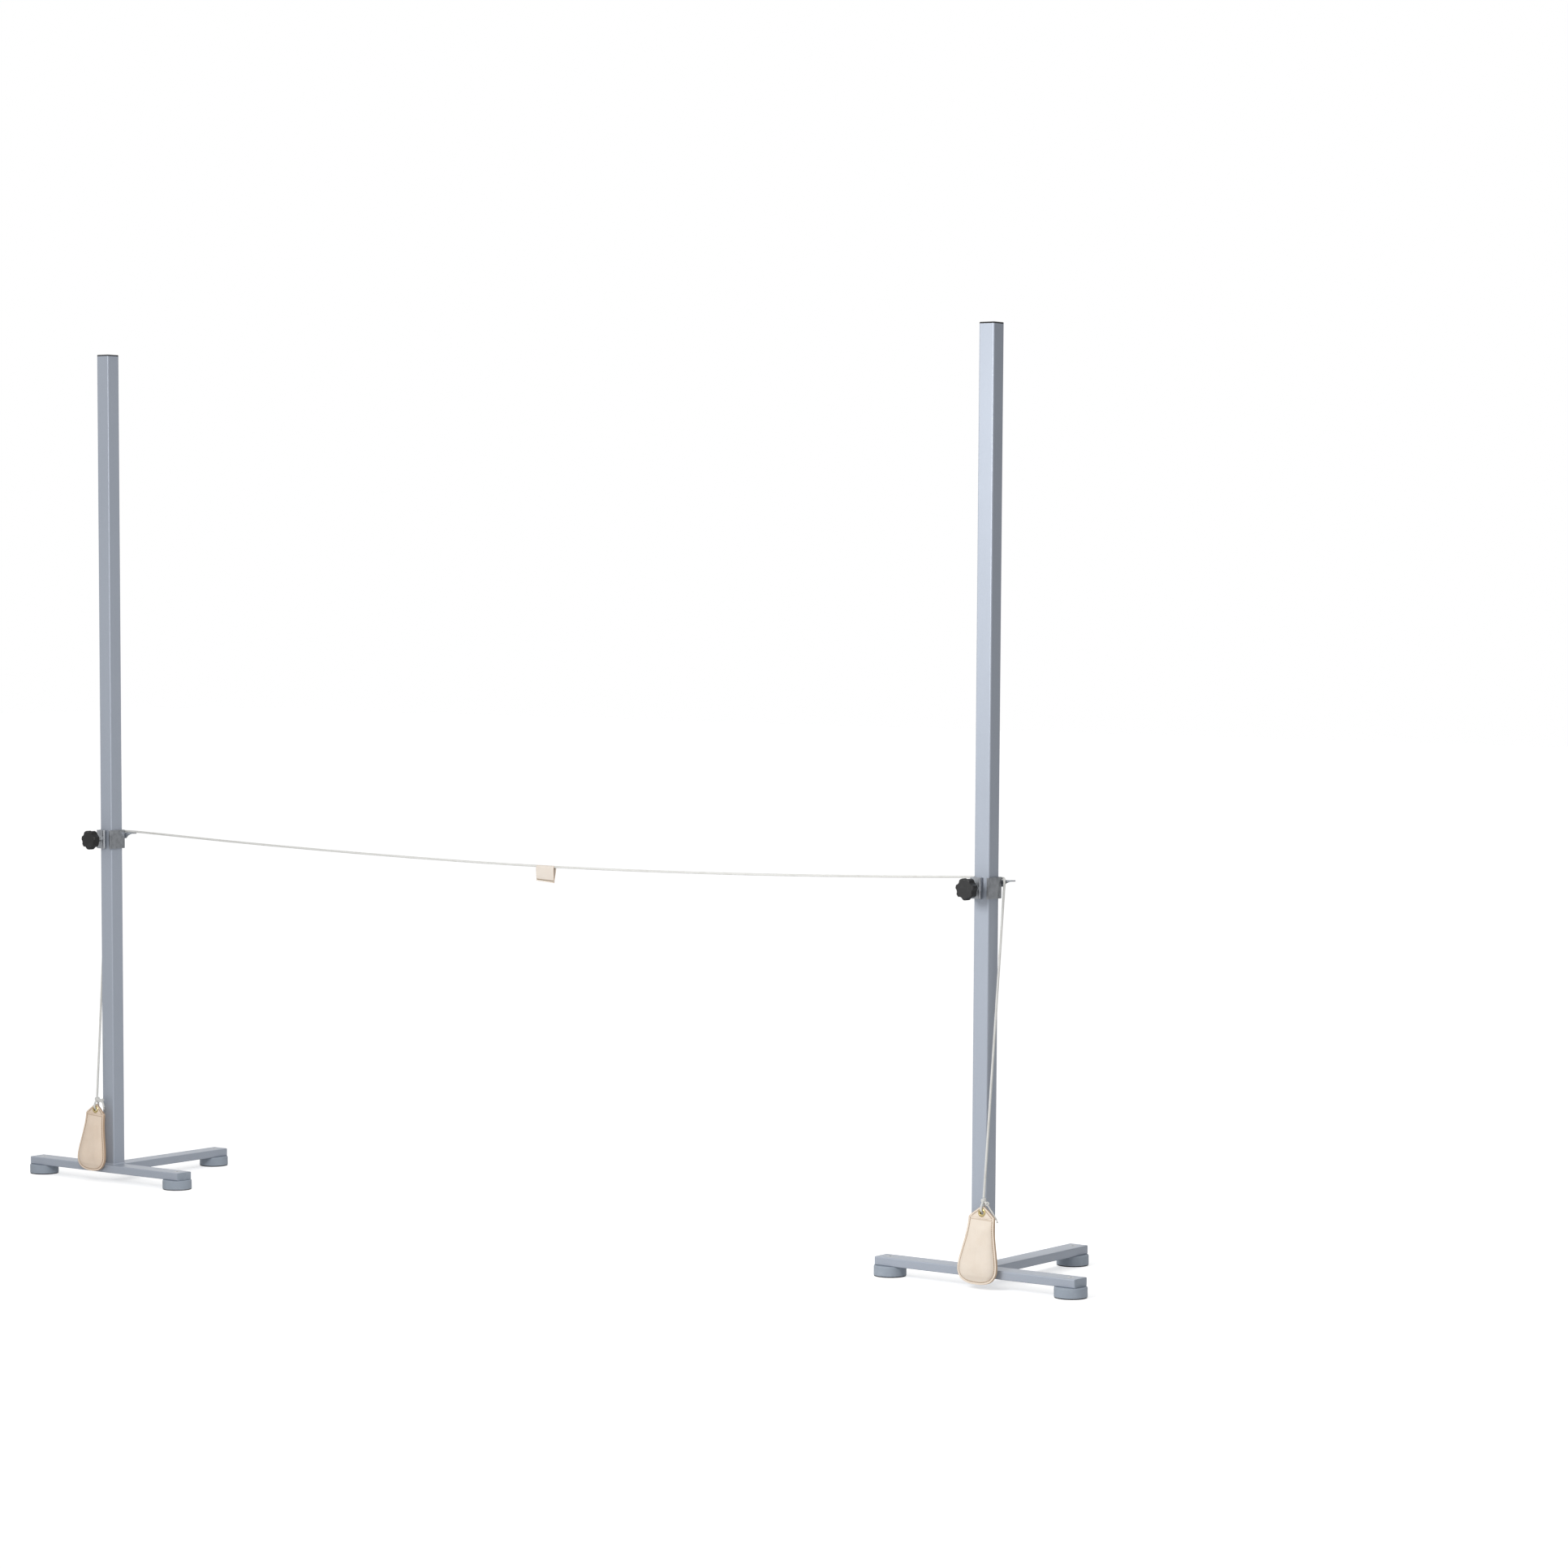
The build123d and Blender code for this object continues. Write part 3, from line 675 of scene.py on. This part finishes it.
def tie_knot(side):
    bm = bmesh.new()
    uv = bm.loops.layers.uv.new("UVMap")
    for points, radius in KNOT_PARTS[side]:
        line = evenly(nurbs_line([Vector(point) * MM for point in points], 16), KNOT_STEP)
        add_tube(bm, line, radius * MM, KNOT_FACETS, uv, plait)
    fray(bm, uv, side)
    bmesh.ops.transform(bm, matrix=eyelet_turn(side), verts=bm.verts)
    return add_piece(f"{side}_tied_knot", bm, cord_cotton, f"{side}_weight", [f"{side}_knot"])


# %% Frayed ends
FRAY_YARNS = 9
# Where the yarns come out of the cut end, which way they hang and how long they are
FRAY = {"left": ((25.5, 1.8, 9.0), (0.15, 0.1, -1.0), 6.0),
        "right": ((33.8, 8.0, -12.2), (0.45, 0.1, -1.0), 7.5)}
YARN_TURN = 2.4                     # from one yarn to the next, in radians
YARN_SPREAD = (0.7, 1.61, 2.52)     # how far the yarns' tips stand aside, in millimetres
YARN_STEP = 0.8 * MM
YARN_RADIUS, YARN_TAPER = 0.75 * MM, 0.35 * MM


def fray(bm, uv, side):
    """Loose yarns that spread from the cut end of the cord."""
    start, way, length = FRAY[side]
    way = Vector(way).normalized()
    across = way.orthogonal().normalized()
    other = way.cross(across)
    for yarn in range(FRAY_YARNS):
        angle = yarn * YARN_TURN
        aside = (across * cos(angle) + other * sin(angle)) * YARN_SPREAD[yarn % 3]
        points = [Vector(start) + aside * reach ** 2 + way * length * reach
                  for reach in (0.0, 0.35, 0.7, 1.0)]
        line = evenly(nurbs_line([point * MM for point in points], 8), YARN_STEP)
        add_tube(bm, line, lambda share: YARN_RADIUS - YARN_TAPER * share, THREAD_SIDES, uv)


knots = {side: tie_knot(side) for side in SIDES}

# %% [markdown]
# ## The leather bags
# A bag is two panels of 3 mm leather, stitched along the sides and the round bottom, with a pointed flap
# sewn in at the top. Sand fills it like a drop: thin at the top and fullest low down. Each panel starts as a
# flat grid that is bent to the cut outline, and is then pushed out by how far a point lies from the seam. An
# extrude gives the leather its thickness.
# %% The cut outline of a bag
# In millimetres from the middle of the eyelet
LEATHER = 2.8
BAG_TIP, BAG_SHOULDER = 17.0, -11.0
# Half the width at each height, from the shoulder down to where the bottom's round begins
SIDE_LINE = [(-11.0, 33.2), (-26.0, 33.8), (-43.0, 35.6), (-63.0, 39.4), (-83.0, 43.8), (-103.0, 48.2),
             (-121.0, 50.8), (-134.0, 50.2), (-144.0, 46.0)]
BOTTOM_LINE = [(46.0, -144.0), (39.5, -151.5), (29.0, -157.0), (15.0, -160.3), (0.0, -161.0)]
BAG_WIDTH = {"left": 0.96, "right": 1.02}
OUTLINE_STEPS = 40


def along_points(points, share):
    """A point on the smooth line through these points, by share of the way."""
    place = share * (len(points) - 1)
    index = min(int(place), len(points) - 2)
    rest = place - index
    around = [Vector(points[min(max(index + step, 0), len(points) - 1)]) for step in (-1, 0, 1, 2)]
    before, start, end, after = around
    return 0.5 * (2 * start + (end - before) * rest + (2 * before - 5 * start + 4 * end - after) * rest ** 2
                  + (3 * start - before - 3 * end + after) * rest ** 3)


def side_point(share, sign, scale):
    z, half = along_points(SIDE_LINE, share)
    return Vector((sign * half * scale, z))


def bottom_point(share, scale):
    """From the left end of the bottom's round to the right end."""
    sign = -1 if share < 0.5 else 1
    half, z = along_points(BOTTOM_LINE, 1 - abs(2 * share - 1))
    return Vector((sign * half * scale, z))


def panel_point(u, v, scale):
    """A point of the flat panel, from its top seam (v = 1) to its round bottom (v = 0)."""
    top = Vector(((2 * u - 1) * SIDE_LINE[0][1] * scale, BAG_SHOULDER))
    bottom = bottom_point(u, scale)
    left, right = side_point(1 - v, -1, scale), side_point(1 - v, 1, scale)
    corners = [Vector((sign * SIDE_LINE[0][1] * scale, BAG_SHOULDER)) for sign in (-1, 1)]
    feet = [side_point(1, sign, scale) for sign in (-1, 1)]
    ruled = top * v + bottom * (1 - v) + left * (1 - u) + right * u
    return ruled - (corners[0] * (1 - u) + corners[1] * u) * v - (feet[0] * (1 - u) + feet[1] * u) * (1 - v)


def panel_outline(scale):
    shares = [step / OUTLINE_STEPS for step in range(OUTLINE_STEPS + 1)]
    left = [side_point(share, -1, scale) for share in shares]
    bottom = [bottom_point(share, scale) for share in shares[1:-1]]
    right = [side_point(share, 1, scale) for share in reversed(shares)]
    return left + bottom + right


def distance_to(point, outline):
    """How far a flat point lies from a line of points."""
    gaps = []
    for start, end in zip(outline, outline[1:]):
        run = end - start
        share = unit((point - start).dot(run) / max(run.length_squared, 1e-12))
        gaps.append((start + run * share - point).length)
    return min(gaps)


# %% The fill of a bag
RIM = 6.2                           # of flat leather outside the filling
FILL_RUN = 24.0                     # from the rim to where the fill is full
SEAM_GAP = 0.15
# How far the filling pushes a panel out, at each height
BELLY = [(-161.0, 0.0), (-152.0, 4.6), (-141.0, 8.6), (-121.0, 10.8), (-83.0, 9.6), (-43.0, 6.2),
         (-22.0, 2.4), (-11.0, 0.4)]
ARCH_POWER = 0.6                    # under 1 makes the filling's side round rather than pointed
SLACK_HEIGHT, RIPPLE_HEIGHT = 1.5, 0.55
FOLD_X, FOLD_WIDTH, FOLD_DEPTH = 13.0, 7.5, 0.9
CRUMPLE_Z, CRUMPLE_RUN, CRUMPLE_HEIGHT = -147.0, 11.0, 1.1
GROOVE_WIDTH, GROOVE_DEPTH = 0.9, 0.35


def belly(z):
    """How far the sand pushes the middle of a panel out at this height."""
    for (low, small), (high, large) in zip(BELLY, BELLY[1:]):
        if z <= high:
            share = unit((z - low) / (high - low))
            share = share * share * (3 - 2 * share)
            return small + (large - small) * share
    return BELLY[-1][1]


def ridge(distance, width):
    """1 at no distance, and falling smoothly to nothing over about twice the width."""
    return exp(-(distance / width) ** 2)


def swell(point, inset, half_width, side, facing):
    """How far a panel's outer face stands from the middle of the seam."""
    inner = unit((inset - RIM) / min(half_width - RIM, FILL_RUN))
    arch = (1 - (1 - inner) ** 2) ** ARCH_POWER
    seed = Vector((point.x * 0.035, point.y * 0.022, 7.3 * SIDES[side] + 2.1 * facing))
    slack = noise.noise(seed) * SLACK_HEIGHT + noise.noise(seed * 2.7) * RIPPLE_HEIGHT
    if side == "right":
        slack -= FOLD_DEPTH * ridge(point.x - FOLD_X + 0.05 * point.y, FOLD_WIDTH)
    else:
        crumple = noise.noise(Vector((point.x * 0.11, point.y * 0.16, 3.3 + facing)))
        slack += CRUMPLE_HEIGHT * crumple * ridge(point.y - CRUMPLE_Z, CRUMPLE_RUN)
    groove = GROOVE_DEPTH * ridge(inset - SEAM_INSET / MM, GROOVE_WIDTH)
    return LEATHER + SEAM_GAP + belly(point.y) * arch + slack * inner ** 0.5 - groove


# %% Panels and flap
BAR_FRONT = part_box("left_crossbar")[0].y
BAR_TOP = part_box("left_crossbar")[1].z
PRESS_GAP = 0.35 * MM               # between a bag and the crossbar that it lies against
PRESS_RISE = 3.0 * MM               # how far over the crossbar's top the bag is still pressed flat
FLAP_HALF = 2.4                     # half its thickness
FLAP_TUCK = 8.0                     # how far it reaches in between the panels
FLAP_ROUND, FLAP_LIFT = 5.0, 2.1    # the round of its tip
FLAP_NARROW = 0.985
BEND_FOOT, BEND_RUN, BEND_HEIGHT = -8.0, 20.0, 0.15
EYELET_CUT = 6.6 * MM
PANEL_GRID, FLAP_GRID = (46, 68), (48, 26)


def thicken(bm, vertices, way):
    """Gives a sheet its thickness: a copy of its faces along way, joined to them at the edges."""
    faces = {face for vertex in vertices if vertex.is_valid for face in vertex.link_faces}
    lifted = bmesh.ops.extrude_face_region(bm, geom=list(faces), use_keep_orig=True)
    raised = [item for item in lifted["geom"] if isinstance(item, bmesh.types.BMVert)]
    bmesh.ops.translate(bm, verts=raised, vec=way)


def bag_panel(bm, edge_layer, side, facing):
    """Facing is -1 for the front panel and 1 for the back one."""
    scale = BAG_WIDTH[side]
    outline = panel_outline(scale)
    closed = outline + [outline[0]]
    side_run = BAG_SHOULDER - SIDE_LINE[-1][0]
    made = grid_on(bm, *PANEL_GRID)
    for vertex, u, v in made:
        flat = panel_point(u, v, scale)
        drop = BAG_SHOULDER - flat.y
        half = side_point(unit(drop / side_run), 1, scale).x
        height = swell(flat, min(distance_to(flat, outline), drop + RIM), half, side, facing)
        vertex[edge_layer] = distance_to(flat, closed) * MM
        vertex.co = Vector((flat.x, facing * (height - LEATHER), flat.y)) * MM
    thicken(bm, [vertex for vertex, _, _ in made], (0, facing * LEATHER * MM, 0))


def flap_point(u, v, scale):
    """The pointed flap: v = 1 runs over its rounded tip from side to side, v = 0 is the tucked lower edge."""
    half = SIDE_LINE[0][1] * scale
    x = (2 * u - 1) * half
    slope = (BAG_TIP - BAG_SHOULDER) / half
    top = BAG_TIP + FLAP_LIFT - slope * hypot(x, FLAP_ROUND / slope)
    tuck = BAG_SHOULDER - FLAP_TUCK
    return Vector((x * (FLAP_NARROW if v < 0.5 else 1.0), tuck + (top - tuck) * v))


def flap_edge(scale):
    return [flap_point(step / OUTLINE_STEPS, 1, scale) for step in range(OUTLINE_STEPS + 1)]


def bag_flap(bm, edge_layer, side):
    scale = BAG_WIDTH[side] * FLAP_NARROW
    edge = flap_edge(scale)
    made = grid_on(bm, *FLAP_GRID)
    for vertex, u, v in made:
        flat = flap_point(u, v, scale)
        vertex[edge_layer] = distance_to(flat, edge) * MM
        bend = BEND_HEIGHT * noise.noise(Vector((flat.x * 0.05, flat.y * 0.05, SIDES[side] * 2.0)))
        free = unit((flat.y - BEND_FOOT) / BEND_RUN)
        vertex.co = Vector((flat.x, -FLAP_HALF + bend * free, flat.y)) * MM
    vertices = [vertex for vertex, _, _ in made]
    middles = {face: face.calc_center_median() for vertex in vertices for face in vertex.link_faces}
    hole = [face for face, middle in middles.items() if hypot(middle.x, middle.z) < EYELET_CUT]
    bmesh.ops.delete(bm, geom=hole, context="FACES")
    thicken(bm, vertices, (0, 2 * FLAP_HALF * MM, 0))


def bag_leather(side):
    bm = bmesh.new()
    edge_layer = bm.verts.layers.float.new("from_edge")
    bag_panel(bm, edge_layer, side, -1)
    bag_panel(bm, edge_layer, side, 1)
    bag_flap(bm, edge_layer, side)
    bmesh.ops.transform(bm, matrix=eyelet_turn(side), verts=bm.verts)
    for vertex in bm.verts:
        if vertex.co.z < BAR_TOP + PRESS_RISE:
            vertex.co.y = min(vertex.co.y, BAR_FRONT - PRESS_GAP)
    material = left_leather if side == "left" else right_leather
    stood_for = [f"{side}_bag", f"{side}_bag_weight"]
    return add_piece(f"{side}_bag_leather", bm, material, f"{side}_weight", stood_for)


bags = {side: bag_leather(side) for side in SIDES}

# %% [markdown]
# ## Stitches
# Waxed brown thread holds the panels. A stitch is a short rounded length of thread that dips into the leather
# at both ends. They follow the outline a few millimetres inside the cut edge, run across under the eyelet,
# and follow the two slopes of the flap.
# %% Stitches on the bags
STITCH = 3.3
STITCH_PITCH = 4.7
STITCH_SINK = 0.30                  # how deep the row's groove is pressed
# Along a stitch, and how high the thread's middle lies over the leather there
STITCH_BOW = [(0.0, -0.5), (0.15, 0.22), (0.5, 0.36), (0.85, 0.22), (1.0, -0.5)]
THREAD_RADIUS = 0.42
# From the flap's seam, its side ends and its cut edge to the rows of stitches
ACROSS_DROP, ACROSS_END, SLOPE_INSET = 2.6, 3.0, 4.2


def add_stitch(bm, start, end, out):
    """A thread from start to end, both flat on the leather, which bows outwards along out."""
    points = [start + (end - start) * share + out * rise * MM for share, rise in STITCH_BOW]
    add_tube(bm, points, THREAD_RADIUS * MM, THREAD_SIDES)


def stitch_line(bm, path, height, facing):
    """Stitches along a flat path, on the face that stands at this height and looks to the front or back."""
    line = evenly([Vector((x, facing * height, z)) for x, z in path], STITCH_PITCH)
    for start, end in zip(line, line[1:-1]):
        way = (end - start).normalized() * STITCH
        add_stitch(bm, start * MM, (start + way) * MM, Vector((0, facing, 0)))


def inset_line(outline, inset):
    """The line a distance inside an outline that runs anticlockwise about the bag's middle."""
    kept = []
    for before, here, after in zip(outline, outline[1:], outline[2:]):
        way = (after - before).normalized()
        kept.append(here + Vector((-way.y, way.x)) * inset)
    return kept


def stitches(side):
    bm = bmesh.new()
    scale = BAG_WIDTH[side]
    body_path = inset_line(panel_outline(scale), SEAM_INSET / MM)
    half = SIDE_LINE[0][1] * scale - ACROSS_END
    across = [(-half, BAG_SHOULDER - ACROSS_DROP), (half, BAG_SHOULDER - ACROSS_DROP)]
    slope_path = inset_line(flap_edge(scale)[::-1], SLOPE_INSET)
    slope_path = [point for point in slope_path if point.y > BAG_SHOULDER + 1]
    rim = LEATHER + SEAM_GAP - STITCH_SINK
    for facing in (-1, 1):
        stitch_line(bm, body_path, rim, facing)
        stitch_line(bm, across, rim, facing)
        stitch_line(bm, slope_path, FLAP_HALF, facing)
    bmesh.ops.transform(bm, matrix=eyelet_turn(side), verts=bm.verts)
    add_piece(f"{side}_bag_stitches", bm, thread, f"{side}_weight")


for side in SIDES:
    stitches(side)

# %% [markdown]
# ## Brass eyelets
# An eyelet is a pressed brass tube whose two rims are rolled over the leather. Its half section is spun
# round the hole's axis.
# %% Eyelets
# Radius and depth of the half section's points, in millimetres
EYELET_SECTION = [
    (4.95, -3.2), (5.35, -4.1), (6.4, -4.5), (7.8, -4.3), (9.2, -3.5), (9.9, -2.75), (9.7, -2.45),
    (6.0, -2.45), (6.0, 2.45),
    (9.7, 2.45), (9.9, 2.75), (9.2, 3.3), (7.8, 3.7), (6.4, 3.9), (5.35, 3.7), (4.95, 3.2)]
EYELET_FACETS = 40


def eyelet(side):
    bm = bmesh.new()
    points = [bm.verts.new((radius * MM, y * MM, 0)) for radius, y in EYELET_SECTION]
    edges = [bm.edges.new(pair) for pair in zip(points, points[1:] + points[:1])]
    bmesh.ops.spin(
        bm, geom=points + edges, cent=(0, 0, 0), axis=(0, 1, 0), dvec=(0, 0, 0), angle=2 * pi,
        steps=EYELET_FACETS, use_merge=True)
    bmesh.ops.remove_doubles(bm, verts=bm.verts, dist=0.001 * MM)
    bmesh.ops.transform(bm, matrix=eyelet_turn(side), verts=bm.verts)
    add_piece(f"{side}_eyelet", bm, brass, f"{side}_weight", [f"{side}_grommet"])


for side in SIDES:
    eyelet(side)

# %% [markdown]
# ## The marker
# A strip of leather is folded over the middle of the cord and stitched near its lower edge, so that jumpers
# see the lowest point. Its two sides stand apart at the top and meet at the stitches.
# %% Folded marker
MARKER_LEATHER = 1.9
# The strip from its front lower edge over the cord to its back one, in millimetres from the cord's height
MARKER_SECTION = [(-4.4, -36.6), (-3.7, -31.2), (-4.4, -24.0), (-4.9, -15.0), (-5.1, -6.0), (-5.0, 0.0),
                  (-3.3, 3.9), (0.0, 5.3), (3.3, 3.9), (5.0, 0.0), (4.3, -6.0), (2.5, -15.0), (0.3, -24.0),
                  (-1.3, -31.2), (-1.6, -36.2)]
MARKER_SLANT = 3.8                  # how much shorter the tag is at its left end
MARKER_CROWN = 5.4                  # from the cord's height to the top of the fold
MARKER_DROP = 36.0
MARKER_FLAT = 86.0                  # the strip's length when it is laid flat
WAVE_HEIGHT = 0.7
TAG_GRID = (30, 56)
FIRST_STITCH, LAST_STITCH = 2.2, 2.0
TAG_LOW, TAG_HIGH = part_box("cord_marker")
TAG_LENGTH = TAG_HIGH.x - TAG_LOW.x


def tag_point(u, y, z):
    """A point of the tag, u along the cord, and y and z in millimetres from the middle of its fold."""
    slant = MARKER_SLANT * (1 - u) * unit(-z / MARKER_DROP)
    level = TAG_HIGH.z - (MARKER_LEATHER + MARKER_CROWN) * MM
    return Vector((
        TAG_LOW.x + u * TAG_LENGTH, (TAG_LOW.y + TAG_HIGH.y) / 2 + y * MM, level + (z + slant) * MM))


def marker_tag():
    bm = bmesh.new()
    edge_layer = bm.verts.layers.float.new("from_edge")
    for vertex, u, v in grid_on(bm, *TAG_GRID):
        y, z = along_points(MARKER_SECTION, v)
        wave = WAVE_HEIGHT * noise.noise(Vector((u * 2.2, v * 3.1, 5.0)))
        end, foot = min(u, 1 - u) * TAG_LENGTH, min(v, 1 - v) * MARKER_FLAT * MM
        vertex[edge_layer] = min(end, foot) if end < EDGE_BAND else foot
        vertex.co = tag_point(u, y + wave, z)
    faces = bm.faces[:]
    bmesh.ops.recalc_face_normals(bm, faces=faces)
    bmesh.ops.solidify(bm, geom=faces, thickness=MARKER_LEATHER * MM)
    return add_piece("marker_of_leather", bm, marker_leather, "marker", ["cord_marker"])


def marker_stitches():
    """One row of stitches a little above the lower edge, on the front and on the back."""
    rows = {-1: MARKER_SECTION[1], 1: MARKER_SECTION[-2]}
    length = TAG_LENGTH / MM
    fall = MARKER_SLANT * STITCH / length
    bm = bmesh.new()
    for facing, (y, z) in rows.items():
        x = FIRST_STITCH
        while x + STITCH < length - LAST_STITCH:
            start = tag_point(x / length, y + facing * MARKER_LEATHER, z)
            end = start + Vector((STITCH, 0, -fall)) * MM
            add_stitch(bm, start, end, Vector((0, facing, 0)))
            x += STITCH_PITCH
    add_piece("marker_stitches", bm, thread, "marker")


marker = marker_tag()
marker_stitches()

# %% [markdown]
# ## Floor and light
# The object stands on a plain pale floor under soft studio light. A large lamp hangs in front and a little to
# the right, so the front of the right upright is the brightest face and its side the darkest. The world gives
# the rest of the light, and shows white to the camera.
# %% Floor, lamp and world
FLOOR_SIDE = 60.0
FLOOR_GLOW = 0.52
WORLD_LEVEL = 0.58
LAMP_PLACE, LAMP_AIM = (0.85, -2.8, 2.0), (0.6, 0.0, 1.0)
LAMP_SIZE, LAMP_POWER = 1.0, 54.0
DARK_SIDE = (0.45, 0.89, 0.0)
DARK_START, DARK_END, DARKEST = 0.60, 0.97, 0.12


def add_floor():
    bm = bmesh.new()
    bmesh.ops.create_grid(bm, x_segments=1, y_segments=1, size=FLOOR_SIDE / 2)
    mesh = bpy.data.meshes.new("floor")
    bm.to_mesh(mesh)
    bm.free()
    floor = into_scene("floor", mesh)
    finish = Finish("floor_white", Base_Color=tone(0.86, 0.86, 0.86), Roughness=0.9)
    seen = finish.node("ShaderNodeLightPath", {}, {}, output="Is Camera Ray")
    finish.feed(Emission_Color=tone(1, 1, 1), Emission_Strength=seen * FLOOR_GLOW)
    mesh.materials.append(finish.material)


def add_lamp():
    data = bpy.data.lights.new("softbox", "AREA")
    data.shape = "SQUARE"
    data.size = LAMP_SIZE
    data.energy = LAMP_POWER
    lamp = into_scene("softbox", data)
    lamp.visible_camera = False
    aim = Vector(LAMP_AIM) - Vector(LAMP_PLACE)
    lamp.matrix_world = Matrix.Translation(LAMP_PLACE) @ aim.to_track_quat("-Z", "Y").to_matrix().to_4x4()


def light_world():
    """An even light, white to the camera, with one darker side that the steel mirrors."""
    world = bpy.data.worlds.new("world")
    world.use_nodes = True
    bpy.context.scene.world = world
    sky = Shader(world.node_tree)
    background = world.node_tree.nodes["Background"]
    background.inputs["Color"].default_value = tone(1, 1, 1)

    def ray(kind):
        return sky.node("ShaderNodeLightPath", {}, {}, output=kind)

    way = sky.node("ShaderNodeTexCoord", {}, {}, output="Generated")
    towards = sky.node("ShaderNodeVectorMath", {"operation": "DOT_PRODUCT"}, {0: way, 1: DARK_SIDE}, "Value")
    mirrored = 1 - towards.ramp(DARK_START, DARK_END) * (1 - DARKEST)
    seen = ray("Is Camera Ray").maths("MAXIMUM", ray("Is Transmission Ray"))
    glossy = ray("Is Glossy Ray")
    level = seen + (1 - seen) * (glossy * mirrored + (1 - glossy) * WORLD_LEVEL)
    sky.join(level, background.inputs["Strength"])


add_floor()
add_lamp()
light_world()
bpy.context.scene.view_settings.view_transform = "Standard"
